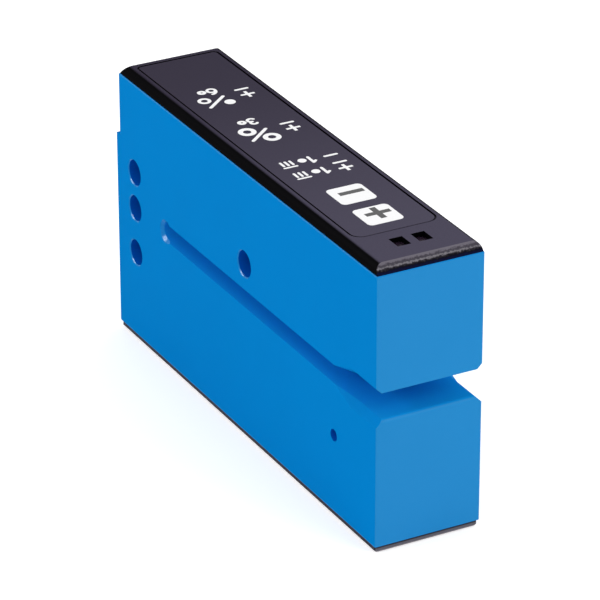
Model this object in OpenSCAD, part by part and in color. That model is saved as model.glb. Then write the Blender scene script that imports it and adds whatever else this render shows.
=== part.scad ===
// Label fork sensor: an aluminium fork whose two arms hold a sensing pair that looks across a
// narrow slot. The upper arm carries the keys, the indicator windows and the M8 plug.
// Millimetres, +Z up. +X points out of the fork's mouth, and the part stands on its bottom plate.

/* [Fork] */
// Depth of the slot, from the mouth to its round end
slot_depth = 70; // [55:0.5:110]
// Width of the slot between the arms
slot_gap = 3; // [2:0.1:5]
// Length of the solid block behind the slot
rear_block_l = 16; // [14.5:0.5:30]
// Width of the bevel around the slot's round end, on the side faces
end_bevel = 0.5; // [0.2:0.1:1]
// Width across the two side faces
body_w = 18; // [17:0.5:30]
// Height of the lower arm, from the housing's underside to the slot
lower_arm_h = 21.85; // [20:0.05:32]
// Height of the upper arm, from the slot to the seat of the cover
upper_arm_h = 19.95; // [19:0.05:30]
// Radius of the four outer upright edges
edge_r = 0.2; // [0.1:0.1:1]

/* [Slot mouth] */
// Length of the eased part of the slot at the mouth
mouth_l = 7.2; // [4:0.1:10]
// Length of the slope that leads to the eased part
mouth_slope_l = 5.5; // [2:0.1:8]
// How far the upper arm is relieved at the mouth
mouth_rise = 0.9; // [0.3:0.1:1.5]
// How far the lower arm is relieved at the mouth
mouth_drop = 0.6; // [0.3:0.1:1.5]
// Chamfer along the side edges of the upper arm's mouth
upper_chamfer = 0.9; // [0.3:0.1:1.5]
// Chamfer along the side edges of the lower arm's mouth
lower_chamfer = 0.6; // [0.3:0.1:1.5]
// Radius of the lower arm's leading edge
nose_r = 0.7; // [0.3:0.1:1.5]

/* [Rear face] */
// How far the upper part of the rear face is set back
rear_setback = 1.4; // [0.6:0.1:3]
// Height of the set-back part of the rear face
rear_face_h = 10.9; // [5:0.1:13]
// Wall that carries the plug
rear_wall = 4; // [3.5:0.1:8]

/* [Mounting holes] */
// Diameter of the four mounting holes
hole_d = 4.3; // [3.2:0.1:5.3]
// Distance of the rear holes from the rear face
hole_x = 6.4; // [5:0.1:7]
// Height of the upper holes above the slot
hole_rise = 4.35; // [3.5:0.05:6]
// Distance between the two upper holes, along the fork
hole_pitch_x = 38.1; // [20:0.1:50]
// Distance between the upper and the middle rear hole
hole_pitch_upper = 6.3; // [5.5:0.1:9]
// Distance between the middle and the lower rear hole
hole_pitch_lower = 7.9; // [5.5:0.1:9]
// Least wall left around a mounting hole
hole_wall = 1.3; // [0.8:0.1:2]
// Chamfer at both ends of a mounting hole
hole_chamfer = 0.15; // [0.1:0.05:0.5]
// Diameter of the blind mark that shows the sensing axis
mark_d = 2; // [1:0.1:3]
// Depth of the mark
mark_depth = 1.5; // [0.5:0.1:2]
// Height of the mark above the housing's underside
mark_z = 13; // [10:0.1:15]

/* [Pockets] */
// Side wall of the pockets
pocket_wall = 1.8; // [1.4:0.1:2.5]
// Wall between the pockets and the mouth
end_wall = 2.6; // [1.8:0.1:3.2]
// Corner radius of the pockets
pocket_r = 2; // [0.8:0.1:3]
// Width of the ledges that carry the boards
ledge_w = 1; // [0.6:0.1:1.5]
// Width of the rubber seals around the pockets
seal_w = 0.9; // [0.5:0.1:1.1]
// Thickness of the rubber seals
seal_t = 0.8; // [0.4:0.1:1]
// Diameter of the duct between the pockets
duct_d = 3.4; // [2.6:0.1:4]

/* [Cover] */
// Height of the cover above the housing
cover_h = 1.6; // [1.2:0.1:3]
// Radius of the cover's long edges
cover_round = 1.45; // [0.5:0.05:2]
// Set-back of the cover's base from the faces of the housing
cover_inset = 0.15; // [0.05:0.05:0.4]
// Run of the slope at the front of the cover
cover_slope_front = 1.1; // [0.5:0.1:2]
// Run of the slope at the rear of the cover
cover_slope_rear = 1.6; // [0.5:0.1:2]
// Depth of the lip that sits in the pocket
lip_h = 1.2; // [0.6:0.1:1.3]
// Thickness of the lips
lip_t = 1; // [0.6:0.1:1.5]
// Side of the posts that hold the boards down
post_s = 1.6; // [1:0.1:2.2]

/* [Key foil] */
// Thickness of the key foil
foil_t = 0.3; // [0.15:0.05:0.4]
// Width of the key foil
foil_w = 14; // [10:0.1:14.4]
// Rim between the foil and the slope at the rear of the cover
foil_rear_rim = 1.05; // [0.5:0.05:6]
// Distance of the foil from the mouth
foil_front = 10; // [8.5:0.1:12]
// Radius of the foil's front corners
foil_front_r = 1.7; // [0.5:0.1:3]
// Radius of the foil's rear corners
foil_rear_r = 0.7; // [0.3:0.1:3]
// Gap between the foil's edge and its recess
foil_gap = 0.25; // [0.1:0.05:0.4]
// Depth of the recess below the cover's top
foil_recess = 0.35; // [0.3:0.05:0.6]

/* [Keys] */
// Distance of the plus key from the mouth
plus_key_x = 15.5; // [13:0.1:18]
// Distance between the two keys
key_pitch = 8.1; // [7:0.1:14]
// Side of a switch body
switch_s = 6; // [4.5:0.1:6.4]
// Height of a switch body
switch_h = 3.5; // [2.5:0.1:4.5]
// Diameter of a switch stem
stem_d = 3.3; // [2:0.1:3.6]
// Travel of a key
key_travel = 0.25; // [0.15:0.05:0.4]

/* [Indicator windows] */
// Length of a window along the fork
window_l = 2.8; // [1.5:0.1:3]
// Width of a window
window_w = 2.2; // [1.2:0.1:2.5]
// Distance between the windows' centres
window_pitch = 3.7; // [3.6:0.1:5]
// Distance of the windows from the mouth
window_x = 6.05; // [5.5:0.05:7]
// How far the light pipes lie below the cover's top
window_sink = 0.8; // [0.2:0.1:1]
// Rim of a light pipe under the cover
pipe_rim = 0.3; // [0.2:0.05:0.5]

/* [Boards] */
// Thickness of the circuit boards
board_t = 1.2; // [0.8:0.1:1.6]
// Room below the main board
floor_room = 1; // [0.4:0.1:1.5]
// Room between the main board and the plug's lower pins
board_room = 0.9; // [0.3:0.05:1.2]
// Room above the lower board
lower_board_room = 3; // [1:0.1:5]
// Diameter of the wires that join the boards
link_d = 2.4; // [1:0.1:2.5]

/* [Sensing pair] */
// Distance of the sensing axis from the mouth
axis_x = 12.8; // [11:0.1:18]
// Diameter of a sensing capsule
capsule_d = 8; // [5:0.1:8.5]
// Height of a sensing capsule
capsule_h = 5; // [3:0.1:6]
// Wall of the rubber sleeve around a capsule
sleeve_t = 1; // [0.5:0.1:1.5]
// Height of the rubber sleeve
sleeve_h = 6; // [4:0.1:6.5]
// Wall between a sleeve and the eased face of its arm
face_wall = 0.6; // [0.3:0.1:0.9]
// Width of the lip that holds a capsule
capsule_lip = 0.8; // [0.4:0.1:1.2]

/* [Plug] */
// How far the plug stands out behind the rear face
plug_out = 6.5; // [5:0.1:9]
// Outer diameter of the plug's thread
plug_d = 8; // [7.5:0.1:8.2]
// Inner diameter of the plug's shell
plug_bore_d = 6.1; // [5:0.1:6.2]
// Depth of the socket in front of the contact carrier
socket_depth = 6; // [4:0.1:6.5]
// Diameter of the plug's flange
flange_d = 9.6; // [9:0.1:9.9]
// Thickness of the plug's flange
flange_t = 1.2; // [0.8:0.1:1.3]
// Diameter of a contact pin
pin_d = 1; // [0.6:0.1:1.2]
// Diameter of the circle of contact pins
pin_circle_d = 3.5; // [3:0.1:4]

/* [Bottom plate] */
// Thickness of the bottom plate
plate_t = 1.1; // [0.6:0.1:2]
// Set-back of the plate from the faces of the housing
plate_inset = 0.6; // [0.2:0.05:0.8]
// Corner radius of the plate
plate_r = 0.5; // [0.3:0.1:2]

/* [Hidden] */
$fn = 64;
cut = 1;             // how far a cutting shape runs past the face that it opens
slip = 0.1;          // clearance of a piece that drops into its seat
snug = 0.03;         // clearance of a piece that is pressed or bonded in
run = 0.15;          // clearance of a piece that slides
tip = 0.01;          // size of the point to which a sloping cut runs out
count_pins = 4;

body_l = rear_block_l + slot_depth;
half_w = body_w / 2;
x_rear = (plug_out - body_l) / 2;
x_joint = rear_block_l + slot_gap / 2;
relief_over = slot_gap / 4;

z_house = plate_t;
z_slot = z_house + lower_arm_h;
z_slot_mid = z_slot + slot_gap / 2;
z_slot_top = z_slot + slot_gap;
z_rim = z_slot_top + upper_arm_h;
z_cover = z_rim + cover_h;
z_foil = z_cover - foil_recess;

z_hole_up = z_slot_top + hole_rise;
z_hole_mid = z_hole_up - hole_pitch_upper;
z_hole_low = z_hole_mid - hole_pitch_lower;
holes = [
    [hole_x, z_hole_up],
    [hole_x, z_hole_mid],
    [hole_x, z_hole_low],
    [hole_x + hole_pitch_x, z_hole_up]
];

pocket_half = half_w - pocket_wall;
x_pocket_front = body_l - end_wall;
x_upper_rear = rear_setback + rear_wall;
x_lower_rear = hole_x + hole_d / 2 + hole_wall;
x_duct = (hole_x + hole_d / 2 + rear_block_l) / 2;

z_upper_floor = z_hole_up + hole_d / 2 + hole_wall;
z_main_seat = z_upper_floor + floor_room;
z_main_top = z_main_seat + board_t;
z_plug = z_main_top + board_room + pin_d / 2 + sin(45) * pin_circle_d / 2;
z_upper_face = z_slot_top + mouth_rise + face_wall;
z_lower_face = z_slot - mouth_drop - face_wall;
z_lower_roof = z_lower_face - sleeve_h;
z_lower_seat = z_lower_roof - lower_board_room;
z_lower_under = z_lower_seat - board_t;

x_axis = body_l - axis_x;
sleeve_d = capsule_d + 2 * sleeve_t;
sleeve_floor = 0.6;
capsule_lead_d = 0.6;
capsule_lead_inset = 1.5;
capsule_lead_pitch = capsule_d - 2 * capsule_lead_inset;
aperture_d = capsule_d - 2 * capsule_lip;

x_plus = body_l - plus_key_x;
x_minus = x_plus - key_pitch;
key_hole_d = stem_d + 4 * run;
stem_guide = 0.45;
stem_seat = key_travel + stem_guide;
stem_gap = 0.05;

x_foil = rear_setback + cover_inset + cover_slope_rear + foil_rear_rim;

x_window = body_l - window_x;
led_l = 2;
led_w = 1.6;
led_base = 0.5;
led_lens = 0.6;
pipe_gap = 0.2;
pipe_rim_t = 0.8;

x_plug_end = -plug_out;
x_flange = rear_setback - flange_t;
thread_relief = 0.6;
relief_l = 1;
plug_chamfer = 0.5;
ring_d = 0.62;
ring_groove = 1.1;
ring_x = rear_setback + rear_wall / 2;
ring_floor_r = plug_d / 2 - ring_d - snug;
x_carrier = x_plug_end + socket_depth;
carrier_rim = 0.55;
carrier_rim_t = 0.8;
pin_recess = 1.2;
key_rib_w = 1;
key_rib_h = 0.7;
key_rib_l = 4;
plug_board_gap = 2;
x_plug_board = x_upper_rear + carrier_rim_t + plug_board_gap;
plug_board_half_w = 5;
plug_board_over = 3.3;
main_board_gap = 0.4;
x_main_rear = x_upper_rear + carrier_rim_t + main_board_gap;

lip_root = cover_h / 4;
plate_root = plate_t / 2;
post_rear_x = 15;
post_front_x = 33;
plate_post_shares = [0.19, 0.54, 0.9];
lower_pocket_l = x_pocket_front - x_lower_rear;

controller_s = 7;
controller_h = 1.2;
controller_back = 22;
driver_l = 5;
driver_w = 4;
driver_h = 1.4;
driver_ahead = 7;
transformer_s = 6.5;
transformer_h = 5;
transformer_back = 14;

// Places what is measured from the housing's rear face so that the origin lies under the middle
module from_rear() {
    translate([x_rear, 0, 0]) children();
}

// Extrudes a side view, drawn as X and Z, across the width w
module across(w) {
    translate([0, w / 2, 0]) rotate([90, 0, 0]) linear_extrude(w) children();
}

// Extrudes a section, drawn as Y and Z, along the fork from x0 to x1
module along(x0, x1) {
    translate([x0, 0, 0]) rotate([90, 0, 90]) linear_extrude(x1 - x0) children();
}

// Round bar along the fork from x0 to x1, at height z and side position y
module bar_x(x0, x1, d, z, y = 0) {
    translate([x0, y, z]) rotate([0, 90, 0]) cylinder(d = d, h = x1 - x0);
}

// Plan outline from x0 to x1, symmetric about the middle, with its own corner radius at each end
module plan(x0, x1, half, r_rear, r_front) {
    translate([x0, r_rear - half]) square([x1 - x0 - r_front, 2 * (half - r_rear)]);
    translate([x0 + r_rear, r_front - half]) square([x1 - x0 - r_rear, 2 * (half - r_front)]);
    translate([x0 + r_rear, -half]) square([x1 - x0 - r_rear - r_front, 2 * half]);
    for (side = [-1, 1]) {
        translate([x0 + r_rear, side * (half - r_rear)]) circle(r_rear);
        translate([x1 - r_front, side * (half - r_front)]) circle(r_front);
    }
}

// Plan outline of a pocket that ends at the mouth's wall, grown by g on every side
module pocket_plan(x0, half, g = 0) {
    plan(x0 - g, x_pocket_front + g, half + g, pocket_r + g, pocket_r + g);
}

// Slab of a plan outline between two heights
module slab(z0, z1) {
    translate([0, 0, z0]) linear_extrude(z1 - z0) children();
}

// Fork housing

module fork_slot() {
    across(body_w + 2 * cut) {
        translate([x_joint, z_slot]) square([body_l - x_joint + cut, slot_gap]);
        translate([x_joint, z_slot_mid]) circle(d = slot_gap);
    }
}

// Conical sink of radius r in both side faces
module side_sinks(x, z, r) {
    for (side = [0, 1]) mirror([0, side, 0])
        translate([x, half_w + cut, z]) rotate([90, 0, 0])
            cylinder(r1 = r + cut, r2 = 0, h = r + cut);
}

// Relief of one arm at the mouth: the slope, the flat and the chamfers along both side edges.
// dir is 1 for the upper arm and -1 for the lower one.
module mouth_relief(z_face, depth, chamfer, dir) {
    x_flat = body_l - mouth_l;
    x_slope = x_flat - mouth_slope_l;
    z_flat = z_face + dir * depth;
    across(body_w + 2 * cut) polygon([
        [x_slope, z_face],
        [x_flat, z_flat],
        [body_l + cut, z_flat],
        [body_l + cut, z_face - dir * relief_over],
        [x_slope, z_face - dir * relief_over]
    ]);
    for (side = [-1, 1]) hull() {
        along(x_flat, body_l + cut) polygon([
            [side * (half_w - chamfer), z_flat],
            [side * half_w, z_flat + dir * chamfer],
            [side * (half_w + cut), z_flat + dir * chamfer],
            [side * (half_w + cut), z_flat]
        ]);
        translate([x_slope, side * half_w, z_face]) cube(tip, center = true);
    }
}

// Rounds the leading edge of the lower arm
module nose_round() {
    z_edge = z_slot - mouth_drop;
    across(body_w + 2 * cut) difference() {
        translate([body_l - nose_r, z_edge - nose_r]) square(nose_r + cut);
        translate([body_l - nose_r, z_edge - nose_r]) circle(nose_r);
    }
}

// Set-back upper part of the rear face, and the round sink for the plug's flange
module rear_step() {
    translate([-cut, -half_w - cut, z_rim - rear_face_h])
        cube([cut + rear_setback, body_w + 2 * cut, rear_face_h + cut]);
    bar_x(-cut, rear_setback, flange_d + 2 * slip, z_plug);
}

module mounting_holes() {
    for (hole = holes) {
        translate([hole[0], 0, hole[1]]) rotate([90, 0, 0])
            cylinder(d = hole_d, h = body_w + 2 * cut, center = true);
        side_sinks(hole[0], hole[1], hole_d / 2 + hole_chamfer);
    }
    translate([x_axis, mark_depth - half_w, z_house + mark_z])
        rotate([90, 0, 0]) cylinder(d = mark_d, h = mark_depth + cut);
}

module upper_pocket() {
    slab(z_upper_floor, z_main_seat + cut) pocket_plan(x_upper_rear, pocket_half - ledge_w);
    slab(z_main_seat, z_rim + cut) pocket_plan(x_upper_rear, pocket_half);
    slab(z_rim - seal_t, z_rim + cut) pocket_plan(x_upper_rear, pocket_half, seal_w);
    bar_x(rear_setback - cut, x_upper_rear + cut, plug_d + 2 * snug, z_plug);
}

module lower_pocket() {
    slab(z_lower_seat - cut, z_lower_roof) pocket_plan(x_lower_rear, pocket_half - ledge_w);
    slab(z_house - cut, z_lower_seat) pocket_plan(x_lower_rear, pocket_half);
    slab(z_house - cut, z_house + seal_t) pocket_plan(x_lower_rear, pocket_half, seal_w);
    translate([x_duct, 0, z_lower_roof - cut])
        cylinder(d = duct_d, h = z_upper_floor - z_lower_roof + 2 * cut);
}

// Stepped seats of the two sensing capsules, open to the slot
module capsule_seats() {
    translate([x_axis, 0, z_upper_face])
        cylinder(d = sleeve_d + 2 * snug, h = z_upper_floor - z_upper_face + cut);
    translate([x_axis, 0, z_lower_roof - cut])
        cylinder(d = sleeve_d + 2 * snug, h = sleeve_h + cut);
    translate([x_axis, 0, z_lower_face - cut])
        cylinder(d = aperture_d, h = z_upper_face - z_lower_face + 2 * cut);
}

// The whole casting
module casting() {
    difference() {
        slab(z_house, z_rim) plan(0, body_l, half_w, edge_r, edge_r);
        fork_slot();
        side_sinks(x_joint, z_slot_mid, slot_gap / 2 + end_bevel);
        mouth_relief(z_slot_top, mouth_rise, upper_chamfer, 1);
        mouth_relief(z_slot, mouth_drop, lower_chamfer, -1);
        nose_round();
        rear_step();
        mounting_holes();
        upper_pocket();
        lower_pocket();
        capsule_seats();
    }
}

// The casting between two lengths and two heights. It is drawn as a rear block and two arms, which
// meet face to face where the straight slot begins, so that no piece of it bends around the slot.
module casting_part(x0, x1, z0, z1) {
    color("#0a7cc8") from_rear() intersection() {
        casting();
        translate([x0, -half_w - cut, z0]) cube([x1 - x0, body_w + 2 * cut, z1 - z0]);
    }
}

module fork_housing() {
    casting_part(-cut, x_joint, z_house - cut, z_rim + cut);
}

module fork_upper_arm() {
    casting_part(x_joint, body_l + cut, z_slot_mid, z_rim + cut);
}

module fork_lower_arm() {
    casting_part(x_joint, body_l + cut, z_house - cut, z_slot_mid);
}

// Covers and seals

// Cap with rounded long edges and sloping ends
module cover_cap() {
    cap_half = half_w - cover_inset;
    round_r = min(cover_round, cover_h - cover_inset);
    x0 = rear_setback + cover_inset;
    x1 = body_l - cover_inset;
    intersection() {
        along(x0, x1) {
            translate([-cap_half, z_rim]) square([2 * cap_half, cover_h - round_r]);
            translate([round_r - cap_half, z_rim]) square([2 * (cap_half - round_r), cover_h]);
            for (side = [-1, 1])
                translate([side * (cap_half - round_r), z_cover - round_r]) circle(round_r);
        }
        across(body_w) polygon([
            [x0, z_rim],
            [x1, z_rim],
            [x1 - cover_slope_front, z_cover],
            [x0 + cover_slope_rear, z_cover]
        ]);
    }
}

// Lip that sits in a pocket, between two heights
module pocket_lip(x_end, z0, z1) {
    slab(z0, z1) difference() {
        pocket_plan(x_end, pocket_half, -slip);
        pocket_plan(x_end, pocket_half, -slip - lip_t);
    }
}

// Pair of posts beside the middle line, at the lip's inner faces
module post_pair(x, z0, z1) {
    for (side = [-1, 1])
        translate([x - post_s / 2, side * (pocket_half - slip - lip_t) - post_s / 2, z0])
            cube([post_s, post_s, z1 - z0]);
}

module foil_outline(g = 0) {
    plan(x_foil - g, body_l - foil_front + g, foil_w / 2 + g, foil_rear_r + g, foil_front_r + g);
}

module window_at(i) {
    translate([x_window, (i - 0.5) * window_pitch, 0]) children();
}

module top_cover() {
    color("#2b2a30") from_rear() difference() {
        union() {
            cover_cap();
            pocket_lip(x_upper_rear, z_rim - lip_h, z_rim + lip_root);
            for (x = [x_upper_rear + post_rear_x, body_l - post_front_x])
                post_pair(x, z_main_top + slip, z_rim + lip_root);
        }
        slab(z_foil, z_cover + cut) foil_outline(foil_gap);
        for (x = [x_minus, x_plus])
            translate([x, 0, z_rim - cut]) cylinder(d = key_hole_d, h = cover_h + 2 * cut);
        for (i = [0, 1]) window_at(i)
            translate([-window_l / 2, -window_w / 2, z_rim - cut])
                cube([window_l, window_w, cover_h + 2 * cut]);
    }
}

module pocket_seal(x_end, z0) {
    slab(z0, z0 + seal_t) difference() {
        pocket_plan(x_end, pocket_half, seal_w - snug);
        pocket_plan(x_end, pocket_half);
    }
}

module cover_seal() {
    color("#1a1a1a") from_rear() pocket_seal(x_upper_rear, z_rim - seal_t);
}

module plate_seal() {
    color("#1a1a1a") from_rear() pocket_seal(x_lower_rear, z_house);
}

module keypad_overlay() {
    color("#3f3d45") from_rear() slab(z_foil, z_foil + foil_t) foil_outline();
}

module bottom_plate() {
    color("#1d1d20") from_rear() {
        slab(0, plate_t)
            plan(plate_inset, body_l - plate_inset, half_w - plate_inset, plate_r, plate_r);
        pocket_lip(x_lower_rear, plate_root, z_house + lip_h);
        for (share = plate_post_shares)
            post_pair(x_lower_rear + share * lower_pocket_l, plate_root, z_lower_under - slip);
    }
}

// Plug at the rear

// Places what is turned about the plug's axis, drawn as radius and distance along the fork
module turned_on_plug() {
    translate([0, 0, z_plug]) rotate([0, 90, 0]) rotate_extrude() children();
}

module connector_shell() {
    r = plug_d / 2;
    color("#c9c7c1") from_rear() turned_on_plug() difference() {
        polygon([
            [plug_bore_d / 2, x_plug_end],
            [r - plug_chamfer, x_plug_end],
            [r, x_plug_end + plug_chamfer],
            [r, x_flange - relief_l],
            [r - thread_relief, x_flange - relief_l],
            [r - thread_relief, x_flange],
            [flange_d / 2, x_flange],
            [flange_d / 2, rear_setback],
            [r, rear_setback],
            [r, x_upper_rear],
            [plug_bore_d / 2, x_upper_rear]
        ]);
        translate([ring_floor_r, ring_x - ring_groove / 2]) square([ring_d + cut, ring_groove]);
    }
}

module connector_o_ring() {
    color("#161616") from_rear() turned_on_plug()
        translate([ring_floor_r + ring_d / 2 + snug / 2, ring_x]) circle(d = ring_d);
}

// Places one contact pin's axis
module pin_at(i) {
    turn = (i + 0.5) * 360 / count_pins;
    translate([0, cos(turn) * pin_circle_d / 2, z_plug + sin(turn) * pin_circle_d / 2]) children();
}

module connector_insert() {
    carrier_d = plug_bore_d - 2 * snug;
    rim_d = plug_bore_d + 2 * carrier_rim;
    x_back = x_upper_rear + carrier_rim_t;
    z_rib = z_plug + carrier_d / 2 - key_rib_h - slip;
    color("#202024") from_rear() difference() {
        union() {
            bar_x(x_carrier, x_back, carrier_d, z_plug);
            bar_x(x_upper_rear, x_back, rim_d, z_plug);
            translate([x_carrier - key_rib_l, -key_rib_w / 2, z_rib])
                cube([key_rib_l + cut, key_rib_w, key_rib_h]);
        }
        for (i = [0 : count_pins - 1]) pin_at(i)
            bar_x(x_carrier - cut, x_back + cut, pin_d + 2 * snug, 0);
    }
}

module contact_pin(i) {
    x_tip = x_plug_end + pin_recess + pin_d / 2;
    color("#d8b45a") from_rear() pin_at(i) {
        bar_x(x_tip, x_plug_board + board_t + pin_d / 2, pin_d, 0);
        translate([x_tip, 0, 0]) sphere(d = pin_d);
    }
}

module connector_board() {
    color("#1f6b3a") from_rear() difference() {
        translate([x_plug_board, -plug_board_half_w, z_main_top])
            cube([board_t, 2 * plug_board_half_w, z_plug + plug_board_over - z_main_top]);
        for (i = [0 : count_pins - 1]) pin_at(i)
            bar_x(x_plug_board - cut, x_plug_board + board_t + cut, pin_d + 2 * snug, 0);
    }
}

// Boards and what they carry

module board(x0, x1, z0) {
    slab(z0, z0 + board_t) plan(x0, x1, pocket_half - slip, pocket_r, pocket_r);
}

module main_board() {
    color("#1f6b3a") from_rear() board(x_main_rear, x_pocket_front - slip, z_main_seat);
}

module lower_board() {
    color("#1f6b3a") from_rear()
        board(x_lower_rear + slip, x_pocket_front - slip, z_lower_under);
}

module link_cable() {
    color("#8a8f98") from_rear() translate([x_duct, 0, z_lower_seat])
        cylinder(d = link_d, h = z_main_seat - z_lower_seat);
}

// Sensing capsule with its face at z = 0, and two leads that reach height z_lead
module capsule(z_lead) {
    cylinder(d = capsule_d - 2 * snug, h = capsule_h);
    for (side = [-1, 1])
        translate([0, side * capsule_lead_pitch / 2, 0])
            cylinder(d = capsule_lead_d, h = z_lead);
}

// Rubber sleeve with an inward floor at z = 0 that carries the capsule's face
module sleeve() {
    rotate_extrude() polygon([
        [aperture_d / 2, 0],
        [sleeve_d / 2, 0],
        [sleeve_d / 2, sleeve_h],
        [capsule_d / 2, sleeve_h],
        [capsule_d / 2, sleeve_floor],
        [aperture_d / 2, sleeve_floor]
    ]);
}

// Places a sensing piece on the upper seat, facing down across the slot
module on_upper_seat(lift) {
    translate([x_axis, 0, z_upper_face + lift]) children();
}

// Places a sensing piece on the lower seat, facing up across the slot
module on_lower_seat(lift) {
    translate([x_axis, 0, z_lower_face - lift]) mirror([0, 0, 1]) children();
}

module receiver_capsule() {
    color("#b9bcc2") from_rear() on_upper_seat(sleeve_floor)
        capsule(z_main_seat - z_upper_face - sleeve_floor);
}

module receiver_sleeve() {
    color("#1a1a1a") from_rear() on_upper_seat(0) sleeve();
}

module transmitter_capsule() {
    color("#b9bcc2") from_rear() on_lower_seat(sleeve_floor)
        capsule(z_lower_face - sleeve_floor - z_lower_seat);
}

module transmitter_sleeve() {
    color("#1a1a1a") from_rear() on_lower_seat(0) sleeve();
}

// Switch body with a guide that leaves the stem room for its whole travel
module switch_body(x) {
    guide_h = stem_seat + key_travel + stem_gap;
    color("#303034") from_rear() translate([x, 0, z_main_top]) difference() {
        translate([-switch_s / 2, -switch_s / 2, 0]) cube([switch_s, switch_s, switch_h]);
        translate([0, 0, switch_h - guide_h]) cylinder(d = stem_d + 2 * run, h = guide_h + cut);
    }
}

module switch_stem(x) {
    z0 = z_main_top + switch_h - stem_seat;
    color("#d9d4c6") from_rear() translate([x, 0, z0])
        cylinder(d = stem_d, h = z_foil - stem_gap - z0);
}

module status_led(i) {
    color("#f0efe6") from_rear() window_at(i) translate([0, 0, z_main_top]) {
        translate([-led_l / 2, -led_w / 2, 0]) cube([led_l, led_w, led_base]);
        cylinder(d = led_w - 2 * slip, h = led_base + led_lens);
    }
}

// Light pipe with a rim under the cover, from above its lamp to just below the cover's top
module light_pipe(i) {
    pipe_l = window_l - 2 * slip;
    pipe_w = window_w - 2 * slip;
    z0 = z_main_top + led_base + led_lens + pipe_gap;
    color("#3a2e3c") from_rear() window_at(i) {
        translate([-pipe_l / 2, -pipe_w / 2, z0])
            cube([pipe_l, pipe_w, z_cover - window_sink - z0]);
        translate([-window_l / 2 - pipe_rim, -window_w / 2 - pipe_rim, z_rim - pipe_rim_t])
            cube([window_l + 2 * pipe_rim, window_w + 2 * pipe_rim, pipe_rim_t]);
    }
}

// Block of length l, width w and height h that stands on a board at x
module block_on(x, z, l, w, h) {
    translate([x - l / 2, -w / 2, z]) cube([l, w, h]);
}

module controller_chip() {
    color("#17171a") from_rear()
        block_on(x_minus - controller_back, z_main_top, controller_s, controller_s, controller_h);
}

module output_driver() {
    color("#17171a") from_rear()
        block_on(x_plug_board + driver_ahead, z_main_top, driver_l, driver_w, driver_h);
}

module drive_transformer() {
    z0 = z_lower_under - transformer_h;
    color("#4a4038") from_rear()
        block_on(x_axis - transformer_back, z0, transformer_s, transformer_s, transformer_h);
}

fork_housing();
fork_upper_arm();
fork_lower_arm();
top_cover();
cover_seal();
keypad_overlay();
bottom_plate();
plate_seal();
connector_shell();
connector_insert();
connector_o_ring();
connector_board();
for (i = [0 : count_pins - 1])
    contact_pin(i);
main_board();
lower_board();
link_cable();
receiver_capsule();
receiver_sleeve();
transmitter_capsule();
transmitter_sleeve();
switch_body(x_minus);  // minus_switch_body
switch_stem(x_minus);  // minus_switch_stem
switch_body(x_plus);  // plus_switch_body
switch_stem(x_plus);  // plus_switch_stem
for (i = [0, 1]) {
    status_led(i);
    light_pipe(i);
}
controller_chip();
output_driver();
drive_transformer();
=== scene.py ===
# %% [markdown]
# This lesson dresses a label fork sensor: a blue painted casting with a deep narrow slot, a black
# top cover with a key foil, a thin plate underneath and a round threaded plug at the back. The
# exact solids come from the part's own frame. They are right in size but bare, so the lesson adds
# softened edges, finishes, the printed legend and the thread.

# %% Load the frame
import math
import bmesh
import bpy
from mathutils import Matrix, Vector


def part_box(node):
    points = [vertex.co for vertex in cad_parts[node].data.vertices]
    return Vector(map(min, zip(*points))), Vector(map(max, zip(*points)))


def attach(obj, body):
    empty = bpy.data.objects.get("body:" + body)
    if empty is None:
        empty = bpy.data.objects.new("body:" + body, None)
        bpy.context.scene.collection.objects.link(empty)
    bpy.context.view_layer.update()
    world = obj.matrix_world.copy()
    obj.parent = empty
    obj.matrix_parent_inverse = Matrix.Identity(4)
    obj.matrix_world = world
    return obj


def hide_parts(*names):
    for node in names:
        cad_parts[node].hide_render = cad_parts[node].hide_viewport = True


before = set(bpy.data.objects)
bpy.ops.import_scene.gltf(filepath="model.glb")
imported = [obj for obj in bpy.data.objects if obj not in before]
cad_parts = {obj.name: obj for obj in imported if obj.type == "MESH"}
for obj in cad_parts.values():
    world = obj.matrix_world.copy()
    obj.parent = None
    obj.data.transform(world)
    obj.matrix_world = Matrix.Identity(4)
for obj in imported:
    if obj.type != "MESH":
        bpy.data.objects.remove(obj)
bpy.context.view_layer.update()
print("solids in the frame:", len(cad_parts))

# %% [markdown]
# The frame is measured in metres from the middle of the underside. A designer thinks of this
# sensor in millimetres from its rear face, so all sizes below are written that way. One number,
# the place of the rear face, turns them into the frame's own lengths.

# %% Lengths
MM = 0.001
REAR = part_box("fork_housing")[0].x / MM
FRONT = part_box("fork_upper_arm")[1].x / MM - REAR
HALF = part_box("fork_housing")[1].y / MM
CASTING_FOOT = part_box("fork_housing")[0].z / MM
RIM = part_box("fork_housing")[1].z / MM
FOIL_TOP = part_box("keypad_overlay")[1].z / MM
COVER_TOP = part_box("top_cover")[1].z / MM
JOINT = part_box("fork_housing")[1].x / MM - REAR
SLOT_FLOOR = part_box("fork_lower_arm")[1].z / MM
SLOT_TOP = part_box("fork_upper_arm")[0].z / MM
MOUTH_FLAT = 7.2
MOUTH_SLOPE = 5.5
MOUTH_DROP = 0.6
MOUTH = MOUTH_FLAT + MOUTH_SLOPE
print(f"casting {FRONT:.2f} mm long, {2 * HALF:.2f} mm wide, foil at {FOIL_TOP:.2f} mm")

# %% [markdown]
# Every finish is a small graph of nodes. Written out node by node, such a graph is hard to read,
# so one class wraps a socket and lets ordinary Python arithmetic add the Math nodes. Its one method
# `add` makes any other node: first the settings, then the values or links of the sockets.

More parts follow.
